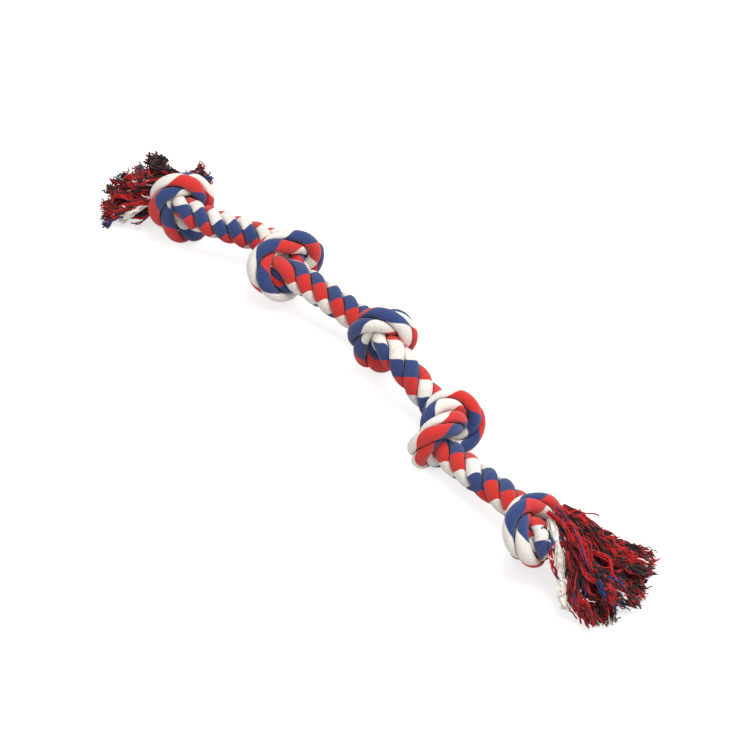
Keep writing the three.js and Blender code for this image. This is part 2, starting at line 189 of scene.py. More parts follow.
def eased(share):
    """A share that starts and ends gently, and stays between nought and one."""
    share = np.clip(share, 0, 1)
    return share * share * (3 - 2 * share)


class Rope:
    """The rope's middle line, how tight it is along it, and how its strands turn round it."""

    def __init__(self, lifts):
        points, ends = self.route(lifts)
        self.points, self.ways = spline(points, ROUTE_STEPS)
        steps = np.linalg.norm(np.diff(self.points, axis=0), axis=1)
        self.along = np.concatenate([[0], np.cumsum(steps)])
        self.spans = [(self.along[a * ROUTE_STEPS], self.along[b * ROUTE_STEPS]) for a, b in ends]
        self.total = self.along[-1]
        self.sides = self.turning_frame()
        inside = [np.minimum(self.along - a, b - self.along) for a, b in self.spans]
        self.tight = eased(np.max(inside, axis=0) / TIGHTENING_RUN)
        lay = self.free_lay() * (1 - self.tight) + KNOT_LAY * self.tight
        self.rate = 2 * math.pi / lay
        self.turn = START_TURN + np.concatenate([[0], np.cumsum(steps * self.rate[1:])])

    def route(self, lifts):
        """The points that the rope passes through, and where each knot's first and last one are."""
        along = np.cumsum([knot[1] for knot in KNOTS])
        bow = np.array([knot[2] for knot in KNOTS]) * ROW_BOW
        places = np.stack([along - along[-1] / 2, bow, np.array(lifts)], 1)
        points, ends, count = [], [], 1
        for k, (_, _, _, mirrored, roll, tilt, turn) in enumerate(KNOTS):
            leaving = HALF_KNOT_ROUTE * KNOT_PASS_SPACING * (1, 1, -1 if mirrored else 1)
            knot = np.vstack([leaving[:0:-1] * (-1, -1, 1), leaving])
            before, after = places[max(k - 1, 0)], places[min(k + 1, len(places) - 1)]
            heading = math.atan2(after[1] - before[1], after[0] - before[0])
            placed = turned(knot, roll, tilt, turn, heading)
            legs = turned(knot, roll, tilt * LEG_FOLLOW_SHARE, turn * LEG_FOLLOW_SHARE, heading)
            placed[0], placed[-1] = legs[0], legs[-1]
            points.append(placed + places[k])
            ends.append((count, count + len(knot) - 1))
            count += len(knot)
        row = np.vstack(points)
        first = row[0] + (row[0] - row[1]) * NECK_LENGTH / np.linalg.norm(row[0] - row[1])
        last = row[-1] + (row[-1] - row[-2]) * NECK_LENGTH / np.linalg.norm(row[-1] - row[-2])
        return np.vstack([first, row, last]), ends

    def turning_frame(self):
        """Sideways directions that follow the rope without turning round it."""
        sides = []
        side = UP
        for way in self.ways:
            side = side - way * (side @ way)
            side = side / np.linalg.norm(side)
            sides.append(side)
        return np.array(sides)

    def free_lay(self):
        """The length of one turn of the strands where the rope is free, by stretch."""
        passed = sum((self.along > (a + b) / 2).astype(int) for a, b in self.spans)
        return np.array(STRETCH_LAYS)[np.clip(passed - 1, 0, len(STRETCH_LAYS) - 1)]

    def at(self, along):
        """Places, directions, sides, turns, turning rates and radii at these lengths along."""
        def mix(values):
            return np.stack([np.interp(along, self.along, values[:, k]) for k in range(3)], 1)

        way = mix(self.ways)
        way /= np.linalg.norm(way, axis=1)[:, None]
        side = mix(self.sides)
        side -= way * np.sum(side * way, axis=1)[:, None]
        side /= np.linalg.norm(side, axis=1)[:, None]
        turn, rate, tight = (np.interp(along, self.along, v) for v in (self.turn, self.rate, self.tight))
        radius = (ROPE_DIAMETER * (1 - tight) + KNOT_ROPE_DIAMETER * tight) / 2
        return mix(self.points), way, side, turn, rate, radius


def turned(points, roll, tilt, turn, heading):
    """Points rolled about x, tilted with their far end up, and turned about z."""
    x, y, z = points.T
    roll, tilt, heading = math.radians(roll), math.radians(tilt), heading + math.radians(turn)
    y, z = y * math.cos(roll) - z * math.sin(roll), y * math.sin(roll) + z * math.cos(roll)
    x, z = x * math.cos(tilt) - z * math.sin(tilt), x * math.sin(tilt) + z * math.cos(tilt)
    x, y = x * math.cos(heading) - y * math.sin(heading), x * math.sin(heading) + y * math.cos(heading)
    return np.stack([x, y, z], 1)


# Three equal circles that just fit in the rope's circle
STRAND_RADIUS_SHARE = math.sqrt(3) / (2 + math.sqrt(3))
STRAND_OFFSET_SHARE = 1 - STRAND_RADIUS_SHARE


def strand_sections(rope, strand, along, knot_rate=None):
    """Middles, outward and sideways axes, half height, half width and turn of a strand's sections."""
    point, way, side, turn, rate, radius = rope.at(along)
    rate = rate if knot_rate is None else knot_rate
    angle = turn + strand * 2 * math.pi / STRAND_COUNT
    across = np.cross(way, side)
    out = side * np.cos(angle)[:, None] + across * np.sin(angle)[:, None]
    offset = STRAND_OFFSET_SHARE * radius
    middle = point + out * offset[:, None]
    high = STRAND_RADIUS_SHARE * radius
    wide = high * np.hypot(1, offset * rate)
    return middle, out, np.cross(way, out), high, wide, turn


def places_along(start, stop, step):
    """Lengths from start to stop, both included, about a step apart."""
    return np.linspace(start, stop, max(round((stop - start) / step), 1) + 1)


def settled_rope():
    """The rope with each knot lowered until its lowest strand is pressed into the floor."""
    lifts = np.full(len(KNOTS), ROPE_DIAMETER)
    rope = Rope(lifts)
    for _ in range(SETTLING_ROUNDS):
        for k, (start, stop) in enumerate(rope.spans):
            along = places_along(start, stop, SAMPLE_STEP)
            lowest = math.inf
            for strand in range(STRAND_COUNT):
                sections = strand_sections(rope, strand, along, 2 * math.pi / KNOT_LAY)
                middle, out, side, high, wide, _ = sections
                reach = np.hypot(high * out[:, 2], wide * side[:, 2])
                lowest = min(lowest, np.min(middle[:, 2] - reach))
            lifts[k] -= lowest + FLOOR_PRESS
        rope = Rope(lifts)
    return rope


def frame_shift(rope):
    """How far the solid model's frame lies from the row's own, read from one of its joints."""
    joint = next(j for j in frame["joints"] if j["name"] == "bend_2_3_sideways")
    start, stop = rope.spans[1][1], rope.spans[2][0]
    place = rope.at(np.array([start + HINGE_SHARE * (stop - start)]))[0][0]
    shift = np.array(joint["pos_m"]) - place
    return np.array([shift[0], shift[1], 0.0])


def settle_in_frame():
    """The settled rope in the solid model's frame, and how far it was moved to get there."""
    rope = settled_rope()
    shift = frame_shift(rope)
    rope.points = rope.points + shift
    return rope, Vector(shift)


def band_angle(rope, strand, along, turn):
    """Where a strand's colour bands stand: steady on a stretch, easing over inside a knot."""
    places, offsets = [], []
    for k, row in enumerate(BAND_OFFSETS):
        offset = row[strand]
        if offsets:
            offset = offsets[-1] + (offset - offsets[-1] + 180) % 360 - 180
        places += [rope.spans[k][1], rope.spans[k + 1][0]]
        offsets += [offset, offset]
    band = np.radians(np.interp(along, places, offsets)) + BAND_TURN * (turn - START_TURN)
    for (start, stop), shift in zip(rope.spans, KNOT_BAND_SHIFTS):
        inside = eased(np.minimum(along - start, stop - along) / KNOT_BAND_RUN)
        band = band + math.radians(shift) * inside
    return band


class Neighbours:
    """Every strand's middle line as points, to find what presses on a place."""

    def __init__(self, rope):
        along = places_along(0, rope.total, SAMPLE_STEP)
        middles = [strand_sections(rope, strand, along)[0] for strand in range(STRAND_COUNT)]
        self.points = np.vstack(middles)
        self.along = np.tile(along, STRAND_COUNT)
        self.strand = np.repeat(np.arange(STRAND_COUNT), len(along))

    def around(self, middle, along, strand):
        """The points near a section: those of its own strand beside it, and all others."""
        near = np.linalg.norm(self.points - middle, axis=1) < NEARBY
        own = (self.strand == strand) & (np.abs(self.along - along) < OWN_REACH)
        return self.points[near & own], self.points[near & ~own]


def pressed_reaches(middle, rays, full, own, others):
    """How far each ray reaches before another strand's surface or the floor stops it."""
    low, high = np.zeros(len(rays)), full * PRESS_REACH
    for _ in range(PRESS_ROUNDS):
        reach = (low + high) / 2
        ends = middle + rays * reach[:, None]
        to_own = np.min(np.linalg.norm(ends[:, None] - own[None], axis=2), axis=1)
        to_other = np.min(np.linalg.norm(ends[:, None] - others[None], axis=2), axis=1)
        clear = to_other - to_own > PRESS_GAP
        low = np.where(clear, reach, low)
        high = np.where(clear, high, reach)
    pressed = np.maximum(low, full * LEAST_REACH)
    soft = (full**-PRESS_SOFTNESS + pressed**-PRESS_SOFTNESS) ** (-1 / PRESS_SOFTNESS)
    down = np.maximum(-rays[:, 2], LEAST_SLOPE)
    floor = np.where(rays[:, 2] < 0, middle[2] / down, np.inf)
    return np.minimum(soft, floor)


def strand_rings(rope, neighbours, strand, start, stop):
    """The rings of a strand's skin between two lengths, with the angle of its colour bands."""
    along = places_along(start, stop, RING_STEP)
    middle, out, side, high, wide, turn = strand_sections(rope, strand, along)
    angle = np.linspace(0, 2 * math.pi, RING_POINTS, endpoint=False)
    rings = []
    for k, length in enumerate(along):
        # The section of a strand that winds round the rope is bent round the rope's middle
        offset = high[k] * STRAND_OFFSET_SHARE / STRAND_RADIUS_SHARE
        bend = min(wide[k] * STRAND_FULLNESS / offset, STRAND_BEND_LIMIT) * np.sin(angle)
        from_rope = offset + high[k] * np.cos(angle)
        arms = out[k] * (from_rope * np.cos(bend) - offset)[:, None]
        arms = arms + side[k] * (from_rope * np.sin(bend))[:, None]
        full = np.linalg.norm(arms, axis=1)
        rays = arms / full[:, None]
        own, others = neighbours.around(middle[k], length, strand)
        reaches = pressed_reaches(middle[k], rays, full, own, others)
        rings.append(middle[k] + rays * reaches[:, None])
    return np.array(rings), along, band_angle(rope, strand, along, turn)


def tube_mesh(name, tubes):
    """One mesh of several closed tubes, with a map of length and turn for the yarns."""
    points, faces, maps = [], [], []
    for rings, along, band in tubes:
        base = sum(len(p) for p in points)
        count = rings.shape[1]
        points.append(rings.reshape(-1, 3))
        step = 1 / count
        for s in range(len(rings) - 1):
            for k in range(count):
                n = (k + 1) % count
                a = base + s * count
                faces.append((a + k, a + n, a + count + n, a + count + k))
                here, there = band[s] / (2 * math.pi), band[s + 1] / (2 * math.pi)
                maps += [(along[s], here + k * step), (along[s], here + (k + 1) * step),
                         (along[s + 1], there + (k + 1) * step), (along[s + 1], there + k * step)]
        for s, order in ((0, range(count - 1, -1, -1)), (len(rings) - 1, range(count))):
            faces.append(tuple(base + s * count + k for k in order))
            maps += [(along[s], band[s] / (2 * math.pi) + k * step) for k in order]
    mesh = bpy.data.meshes.new(name)
    mesh.from_pydata(np.vstack(points).tolist(), [], faces)
    layer = mesh.uv_layers.new(name="Yarn")
    layer.data.foreach_set("uv", np.array(maps, dtype=np.float32).ravel())
    mesh.polygons.foreach_set("use_smooth", [len(face) == 4 for face in faces])
    mesh.update()
    piece = bpy.data.objects.new(name, mesh)
    bpy.context.scene.collection.objects.link(piece)
    return piece


def rope_piece(name, start, stop):
    """All three strands of one length of the rope, as one mesh."""
    tubes = [strand_rings(ROPE, NEIGHBOURS, strand, start, stop) for strand in range(STRAND_COUNT)]
    piece = tube_mesh(name, tubes)
    piece.data.materials.append(banded_cotton())
    return piece


def strand_nodes(name):
    """The names of the solid model's three strands of one length of the rope."""
    return [f"{name}_strand_{letter}" for letter in STRAND_LETTERS]


def node_tree(name):
    material = bpy.data.materials.new(name)
    material.use_nodes = True
    nodes = material.node_tree.nodes
    return material, nodes, material.node_tree.links, nodes["Principled BSDF"]


def maths(nodes, links, operation, *values):
    node = nodes.new("ShaderNodeMath")
    node.operation = operation
    for k, value in enumerate(values):
        if isinstance(value, bpy.types.NodeSocket):
            links.new(value, node.inputs[k])
        else:
            node.inputs[k].default_value = value
    return node.outputs[0]


# The sockets of a mix node that hold its share, its colours and its mixed colour
MIX_INPUTS = (0, 6, 7)
MIX_OUTPUT = 2
NOISE_DETAIL = 3.0
NEW_STOP = 0.5  # where a new stop of a ramp is made, before it is moved to its place


def multiplied(nodes, links, share, first, second):
    """The first colour multiplied by this share of the second."""
    node = nodes.new("ShaderNodeMix")
    node.data_type = "RGBA"
    node.blend_type = "MULTIPLY"
    for index, value in zip(MIX_INPUTS, (share, first, second)):
        if isinstance(value, bpy.types.NodeSocket):
            links.new(value, node.inputs[index])
        else:
            node.inputs[index].default_value = value
    return node.outputs[MIX_OUTPUT]


def noise(nodes, links, vector, scale, detail=NOISE_DETAIL):
    node = nodes.new("ShaderNodeTexNoise")
    node.inputs["Scale"].default_value = scale
    node.inputs["Detail"].default_value = detail
    links.new(vector, node.inputs["Vector"])
    return node.outputs["Fac"]


def ramp(nodes, links, factor, stops):
    node = nodes.new("ShaderNodeValToRGB")
    while len(node.color_ramp.elements) < len(stops):
        node.color_ramp.elements.new(NEW_STOP)
    for element, (position, colour) in zip(node.color_ramp.elements, stops):
        element.position = position
        element.color = colour
    links.new(factor, node.inputs["Fac"])
    return node.outputs["Color"]


def ridges(nodes, links, place):
    """Round ridges side by side, one to each whole step of the place."""
    wave = maths(nodes, links, "SINE", maths(nodes, links, "MULTIPLY", place, math.pi))
    return maths(nodes, links, "ABSOLUTE", wave)


def bumped(nodes, links, shader, height, strength, distance):
    bump = nodes.new("ShaderNodeBump")
    bump.inputs["Strength"].default_value = strength
    bump.inputs["Distance"].default_value = distance
    links.new(height, bump.inputs["Height"])
    links.new(bump.outputs[0], shader.inputs["Normal"])


def yarn_map(nodes, links):
    """The length along a yarn or strand, the turn round it, and the place on the piece."""
    uv = nodes.new("ShaderNodeUVMap")
    uv.uv_map = "Yarn"
    split = nodes.new("ShaderNodeSeparateXYZ")
    links.new(uv.outputs[0], split.inputs[0])
    place = nodes.new("ShaderNodeTexCoord").outputs["Object"]
    return split.outputs["X"], split.outputs["Y"], place


def grey(value):
    return (value, value, value, 1)


RED = (0.70, 0.030, 0.024, 1)
WHITE = (0.95, 0.89, 0.82, 1)
SEA_BLUE = (0.030, 0.058, 0.20, 1)
# Near-black yarns are painted shade: they stand in for the shadow deep among the tassels' red, white and
# blue yarns
PAINTED_SHADE_BLACK = (0.034, 0.019, 0.021, 1)
DEEP_RED = (0.52, 0.016, 0.018, 1)
NAVY = (0.026, 0.045, 0.16, 1)
YARN_COLOURS = {"red": DEEP_RED, "painted_shade": PAINTED_SHADE_BLACK, "white": WHITE, "blue": NAVY}

# Cotton strands: noises in repeats to the metre, lengths in metres, the rest as shares
BAND_WOBBLE_SCALE = 90.0
BAND_WOBBLE_DETAIL = 1.0
BAND_WOBBLE = 0.05
BAND_EDGE = 0.006
FLECK_SCALE = 900.0
FLECK_SHADES = [(0.25, grey(0.80)), (0.75, grey(1.12))]
# Painted shade: the colour is darkened in the grooves between the yarns round a strand
PAINTED_GROOVE_SHADES = [(0.0, grey(0.82)), (0.5, grey(1))]
PAINTED_GROOVE_SHADE_STRENGTH = 0.7
LINT_SCALE = 2200.0
LINT_DETAIL = 4.0
LINT_HEIGHT = 0.6
RIDGE_HEIGHT = 0.7
STRAND_BUMP = (0.55, 0.0006)
STRAND_ROUGHNESS = 0.82
FLECK_ROUGHNESS = 0.15
STRAND_SHINE = 0.15
STRAND_SHEEN = 0.25
STRAND_SHEEN_ROUGHNESS = 0.6

# Loose yarns
TWISTS_TO_THE_METRE = 700.0
DYE_SCALE = 260.0
DYE_SHADES = [(0.3, grey(0.7)), (0.7, grey(1.25))]
YARN_BUMP = (0.6, 0.0003)
YARN_ROUGHNESS = 0.9
YARN_SHINE = 0.12
YARN_SHEEN = 0.2


def banded_cotton():
    """Soft cotton strands whose yarns lie in three bands: red, white and blue, with painted shade in the
    grooves between the yarns.
    """
    found = bpy.data.materials.get("banded_cotton")
    if found:
        return found
    material, nodes, links, shader = node_tree("banded_cotton")
    _, turn, place = yarn_map(nodes, links)
    wobble = noise(nodes, links, place, BAND_WOBBLE_SCALE, BAND_WOBBLE_DETAIL)
    wobble = maths(nodes, links, "MULTIPLY_ADD", wobble, BAND_WOBBLE, -BAND_WOBBLE / 2)
    turn = maths(nodes, links, "ADD", turn, wobble)
    ridge = ridges(nodes, links, maths(nodes, links, "MULTIPLY", turn, float(YARNS_ROUND_STRAND)))
    band = maths(nodes, links, "FRACT", turn)
    stops = [(0.0, RED)]
    for share, before, after in ((1 / 3, RED, WHITE), (2 / 3, WHITE, SEA_BLUE)):
        stops += [(share - BAND_EDGE, before), (share + BAND_EDGE, after)]
    stops += [(1 - BAND_EDGE, SEA_BLUE), (1.0, RED)]
    colour = ramp(nodes, links, band, stops)
    fleck = noise(nodes, links, place, FLECK_SCALE)
    colour = multiplied(nodes, links, 1.0, colour, ramp(nodes, links, fleck, FLECK_SHADES))
    # Painted shade darkens the colour in the grooves between the yarns
    painted_groove_shade = ramp(nodes, links, ridge, PAINTED_GROOVE_SHADES)
    colour = multiplied(nodes, links, PAINTED_GROOVE_SHADE_STRENGTH, colour, painted_groove_shade)
    links.new(colour, shader.inputs["Base Color"])
    lint = noise(nodes, links, place, LINT_SCALE, LINT_DETAIL)
    ridge_height = maths(nodes, links, "MULTIPLY", ridge, RIDGE_HEIGHT)
    height = maths(nodes, links, "MULTIPLY_ADD", lint, LINT_HEIGHT, ridge_height)
    bumped(nodes, links, shader, height, *STRAND_BUMP)
    rough = maths(nodes, links, "MULTIPLY_ADD", fleck, FLECK_ROUGHNESS, STRAND_ROUGHNESS)
    links.new(rough, shader.inputs["Roughness"])
    shader.inputs["Specular IOR Level"].default_value = STRAND_SHINE
    shader.inputs["Sheen Weight"].default_value = STRAND_SHEEN
    shader.inputs["Sheen Roughness"].default_value = STRAND_SHEEN_ROUGHNESS
    return material


def yarn_cotton(name, colour):
    """One loose yarn: twisted fibres with uneven dye."""
    found = bpy.data.materials.get(name)
    if found:
        return found
    material, nodes, links, shader = node_tree(name)
    length, turn, place = yarn_map(nodes, links)
    twist = maths(nodes, links, "MULTIPLY_ADD", length, TWISTS_TO_THE_METRE, turn)
    dye = noise(nodes, links, place, DYE_SCALE)
    colour = multiplied(nodes, links, 1.0, colour, ramp(nodes, links, dye, DYE_SHADES))
    links.new(colour, shader.inputs["Base Color"])
    bumped(nodes, links, shader, ridges(nodes, links, twist), *YARN_BUMP)
    shader.inputs["Roughness"].default_value = YARN_ROUGHNESS
    shader.inputs["Specular IOR Level"].default_value = YARN_SHINE
    shader.inputs["Sheen Weight"].default_value = YARN_SHEEN
    return material


def swell_at(share):
    """How full a lock is at these shares of its length."""
    return np.interp(share, np.linspace(0, 1, len(LOCK_SWELL_SHARES)), LOCK_SWELL_SHARES)


class Lock:
    """One lock of loose yarns, as the solid model has it."""

    def __init__(self, root, heading, lock, tassel_length):
        name, bearing, length_share, width_share, height_share, top = lock
        self.name = name
        self.top = top
        self.lateral = math.sin(math.radians(bearing))
        bearing = heading + math.radians(bearing)
        away = np.array([math.cos(bearing), math.sin(bearing), 0])
        left = np.array([-math.sin(heading), math.cos(heading), 0])
        self.length = tassel_length * length_share
        self.high = LOCK_HALF_HEIGHT * height_share
        self.wide = LOCK_HALF_WIDTH * width_share
        rest = self.high * (1 - LOCK_PRESS_SHARE) + top * TOP_LAYER_RISE
        start = root + left * ROOT_SPREAD * math.sin(bearing - heading)
        start = start + UP * (TOP_LOCK_START if top else LOW_LOCK_START)
        steps = len(LOCK_DROPS) - 1
        points = [start + away * self.length * k / steps for k in range(steps + 1)]
        for point, drop in zip(points, LOCK_DROPS):
            point[2] = start[2] + (rest - start[2]) * drop
        self.line, self.ways = spline(np.array(points), ROUTE_STEPS)
        steps = np.linalg.norm(np.diff(self.line, axis=0), axis=1)
        self.share = np.concatenate([[0], np.cumsum(steps)]) / np.sum(steps)
        self.rest = rest

    def at(self, share):
        """Middles and axes of the lock's sections at these shares of its length."""
        middle = np.stack([np.interp(share, self.share, self.line[:, k]) for k in range(3)], 1)
        way = np.stack([np.interp(share, self.share, self.ways[:, k]) for k in range(3)], 1)
        way /= np.linalg.norm(way, axis=1)[:, None]
        out = UP - way * way[:, 2:]
        out /= np.linalg.norm(out, axis=1)[:, None]
        swell = swell_at(share)
        middle[:, 2] -= self.rest * share * (1 - swell)
        return middle, out, np.cross(way, out), self.high * swell, self.wide * swell


# How a lock's yarns lie: lengths in metres, pairs are the least and the most of a chance draw
YARN_POINTS = 5
YARN_STEPS = 24
YARN_RADIUS = 0.00055
YARN_RADIUS_SHARES = (0.75, 1.15)
YARN_END_SHARE = 0.45  # how much of its radius a yarn keeps at its tip
YARNS_IN_TUFT = 13
FRIZZ_IN_TUFT = 9
TUFT_RADIUS = 0.0028
TUFT_REACH = (0.82, 0.98)
LEAST_DEPTH = 0.1  # how near a lock's middle a tuft may lie
DEPTH_POWER = 0.6  # lower brings more of the tufts out to the lock's skin
TUFT_SWING = 0.4
GATHER_SHARE = 0.6  # the share of a lock's length over which the yarns gather into it
SHORT_TUFT_START = 0.6  # the share of a lock's length where the short white and blue tufts start
SHORT_TUFT_DEPTH = (0.5, 1.05)  # how far out a short tuft lies where it starts, and then
SHORT_TUFT_RISE = 0.2
YARN_REACH = (0.86, 1.0)
YARN_TURNS = (2, 5)
LEAST_SPREAD = 0.02
TIGHT_SHARE = 0.6  # how close a tuft's yarns keep together
LOOSENING = 0.8
LOOSENING_START = 0.5
FRIZZ_START = (0.05, 0.85)
FRIZZ_LENGTH = (0.12, 0.3)
FRIZZ_TURN = 2
FRIZZ_LIFT = (0.002, 0.0065)
FRIZZ_POWER = 1.3
# Sideways waves: the fewest and the most in one length, and their size
TUFT_WAVES = (1.0, 3.0, 0.0015)
YARN_WAVES = (4.0, 8.0, 0.0004)
FRIZZ_WAVES = (1.0, 2.5, 0.0005)
WAVES_ADDED = 3
WAVE_START = 0.2  # the share of a length over which its waves grow

# Where the yarns leave the knot
SKIRT_RADIUS = 0.018  # how far from the neck's middle the outermost yarns leave the knot
SKIRT_SETBACK = 0.009  # how far back inside the knot the yarns start
SKIRT_LENGTH = 0.009  # and how much farther the outermost ones
SKIRT_LEAN = np.array([0, 0.008, 0.006])  # the yarns leave more on the knot's high side
SKIRT_LOCK_SIDE = 1.2  # how much a lock's own side counts there
SKIRT_SIDE = 0.6  # and a tuft's side within its lock
SKIRT_HEIGHT = 0.8
SKIRT_TOP_RISE = 0.5
BUNDLE_LEAN = np.array([-0.004, 0.002, 0.008])  # the white bundle leaves the knot higher up
BUNDLE_FRIZZ = 3
BUNDLE_REACH = 0.76  # the share of its lock that its longest yarns fill
BUNDLED_LOCK = "white_yarns"
# The near-black kind is painted shade, standing in for shadow among the yarns
TUFT_KINDS = ("red", "painted_shade", "white", "blue")
SHORT_KINDS = ("white", "blue")
TASSEL_SEEDS = {"far": 200, "near": 100}


def waves(rng, share, least, most, size):
    """A wandering sideways path: a few sine waves of chance length and place."""
    total = np.zeros(len(share))
    for _ in range(WAVES_ADDED):
        total += np.sin(share * rng.uniform(least, most) * 2 * math.pi + rng.uniform(0, 2 * math.pi))
    return total * size * np.clip(share / WAVE_START, 0, 1)


def along_path(path, places):
    """Points of a path at these places, which are shares of its length."""
    steps = np.linspace(0, 1, len(path))
    return np.stack([np.interp(places, steps, path[:, k]) for k in range(3)], 1)


def tuft_path(rng, lock, tip, way, short):
    """The way of one tuft's middle: from where it leaves the knot, out through its lock."""
    bundled = lock.name == BUNDLED_LOCK
    reach = rng.uniform(*TUFT_REACH) * (BUNDLE_REACH if bundled else 1)
    share = np.linspace(SHORT_TUFT_START if short else 0, reach, YARN_STEPS)
    middle, out, side, high, wide = lock.at(share)
    angle = rng.uniform(0, 2 * math.pi)
    depth = rng.uniform(LEAST_DEPTH, 1) ** DEPTH_POWER * np.ones(YARN_STEPS)
    if short:
        first, last = SHORT_TUFT_DEPTH
        depth = first + (last - first) * eased((share - SHORT_TUFT_START) / SHORT_TUFT_RISE)
    swing = angle + rng.normal(0, TUFT_SWING) * share
    offset = out * (np.sin(swing) * (high - TUFT_RADIUS) * depth)[:, None]
    offset = offset + side * (np.cos(swing) * (wide - TUFT_RADIUS) * depth)[:, None]
    left = np.cross(UP, way)
    narrow = lock.wide / LOCK_HALF_WIDTH
    around = left * (SKIRT_LOCK_SIDE * lock.lateral + SKIRT_SIDE * narrow * math.cos(angle))
    around = around + UP * (SKIRT_HEIGHT * narrow * math.sin(angle) + SKIRT_TOP_RISE * lock.top)
    around = around / max(np.linalg.norm(around), 1.0) * depth[0]
    root = tip + SKIRT_LEAN + around * SKIRT_RADIUS
    if bundled:
        root = root + BUNDLE_LEAN
    root = root - way * (SKIRT_SETBACK + SKIRT_LENGTH * np.linalg.norm(around))
    gather = eased(share / GATHER_SHARE)[:, None]
    path = (root + middle - lock.line[0]) * (1 - gather) + (middle + offset) * gather
    for axis in (out, side):
        path = path + axis * waves(rng, share, *TUFT_WAVES)[:, None]
    return share, path, out, side


def yarn_path(rng, tuft):
    """One yarn of a tuft: it keeps beside the others, crimped, and frays away at its end."""
    share, path, out, side = tuft
    spread = TUFT_RADIUS * math.sqrt(rng.uniform(LEAST_SPREAD, 1))
    turn = rng.uniform(0, 2 * math.pi) + share * rng.uniform(*YARN_TURNS)
    loosen = TIGHT_SHARE + LOOSENING * eased((share - LOOSENING_START) / (1 - LOOSENING_START))
    away = out * np.cos(turn)[:, None] + side * np.sin(turn)[:, None]
    yarn = path + away * (spread * loosen)[:, None]
    for axis in (out, side):
        yarn = yarn + axis * waves(rng, share, *YARN_WAVES)[:, None]
    return along_path(yarn, np.linspace(0, rng.uniform(*YARN_REACH), YARN_STEPS))


def frizz_path(rng, tuft):
    """A short loose end that leaves its tuft and curls away."""
    _, path, out, side = tuft
    start = rng.uniform(*FRIZZ_START)
    places = start + np.linspace(0, min(rng.uniform(*FRIZZ_LENGTH), 1 - start), YARN_STEPS)
    run = np.linspace(0, 1, YARN_STEPS)
    turn = rng.uniform(0, 2 * math.pi) + rng.uniform(-FRIZZ_TURN, FRIZZ_TURN) * run
    lift = rng.uniform(*FRIZZ_LIFT) * run**FRIZZ_POWER
    away = np.stack([np.cos(turn), np.sin(turn)], 1) * lift[:, None]
    away = away + rng.normal(0, TUFT_RADIUS / 2, 2)
    axes = [along_path(axis, places) for axis in (out, side)]
    yarn = along_path(path, places)
    for k in range(2):
        yarn = yarn + axes[k] * (away[:, k] + waves(rng, run, *FRIZZ_WAVES))[:, None]
    return yarn


def yarn_rings(path, radius):
    """The rings of one yarn's skin, kept above the floor."""
    path = path.copy()
    path[:, 2] = np.maximum(path[:, 2], radius)
    ways = np.gradient(path, axis=0)
    ways /= np.linalg.norm(ways, axis=1)[:, None]
    side = np.cross(ways, NEARLY_UP)
    side /= np.linalg.norm(side, axis=1)[:, None]
    across = np.cross(ways, side)
    angle = np.linspace(0, 2 * math.pi, YARN_POINTS, endpoint=False)
    taper = np.ones(len(path))
    taper[-1] = YARN_END_SHARE
    circle = side[:, None] * np.cos(angle)[None, :, None]
    circle = circle + across[:, None] * np.sin(angle)[None, :, None]
    rings = path[:, None] + circle * (radius * taper)[:, None, None]
    rings[..., 2] = np.maximum(rings[..., 2], 0)
    return rings


# For each lock: its share of tufts, then the chances of red, painted shade (near-black), white and blue
# yarns
LOCK_YARNS = {
    "white_yarns": (0.25, (0.05, 0.02, 0.91, 0.02)),
    "strand_a_yarns": (1.0, (0.40, 0.54, 0.02, 0.04)),
    "strand_b_yarns": (1.0, (0.39, 0.53, 0.03, 0.05)),
    "strand_c_yarns": (1.0, (0.39, 0.54, 0.03, 0.04)),
    "blue_yarns": (0.8, (0.44, 0.40, 0.03, 0.13)),
    "red_yarns": (0.9, (0.50, 0.44, 0.03, 0.03)),
}
KEEPS_TUFT_COLOUR = 0.62  # the share of a long tuft's yarns that have the tuft's own colour
SHORT_KEEPS_COLOUR = 0.92  # and of a short one's


def lock_piece(label, lock, tip, way, tufts, seed):
    """The yarns of one lock as one mesh, each yarn in its own colour."""
    rng = np.random.default_rng(seed)
    share, chances = LOCK_YARNS[lock.name]
    bundled = lock.name == BUNDLED_LOCK
    frizz = BUNDLE_FRIZZ if bundled else FRIZZ_IN_TUFT
    kind_count = len(TUFT_KINDS)
    tubes, kinds = [], []
    for _ in range(max(int(tufts * share), 1)):
        kind = rng.choice(kind_count, p=chances)
        short = TUFT_KINDS[kind] in SHORT_KINDS and not bundled
        tuft = tuft_path(rng, lock, tip, way, short)
        paths = [yarn_path(rng, tuft) for _ in range(YARNS_IN_TUFT)]
        keeps = SHORT_KEEPS_COLOUR if short else KEEPS_TUFT_COLOUR
        kinds += [kind if rng.uniform() < keeps else rng.choice(kind_count, p=chances) for _ in paths]
        loose = [frizz_path(rng, tuft) for _ in range(frizz)]
        kinds += list(rng.choice(kind_count, size=len(loose), p=chances))
        for path in paths + loose:
            steps = np.linalg.norm(np.diff(path, axis=0), axis=1)
            along = np.concatenate([[0], np.cumsum(steps)])
            rings = yarn_rings(path, YARN_RADIUS * rng.uniform(*YARN_RADIUS_SHARES))
            tubes.append((rings, along, np.zeros(len(path))))
    piece = tube_mesh(f"{label}_{lock.name}_loose", tubes)
    for kind in TUFT_KINDS:
        piece.data.materials.append(yarn_cotton(f"{kind}_yarn", YARN_COLOURS[kind]))
    # A yarn's faces are those of its side and its two ends
    faces = (YARN_STEPS - 1) * YARN_POINTS + 2
    piece.data.polygons.foreach_set("material_index", np.repeat(kinds, faces).astype(np.int32))
    return piece


ROPE, ROW_SHIFT = settle_in_frame()
NEIGHBOURS = Neighbours(ROPE)


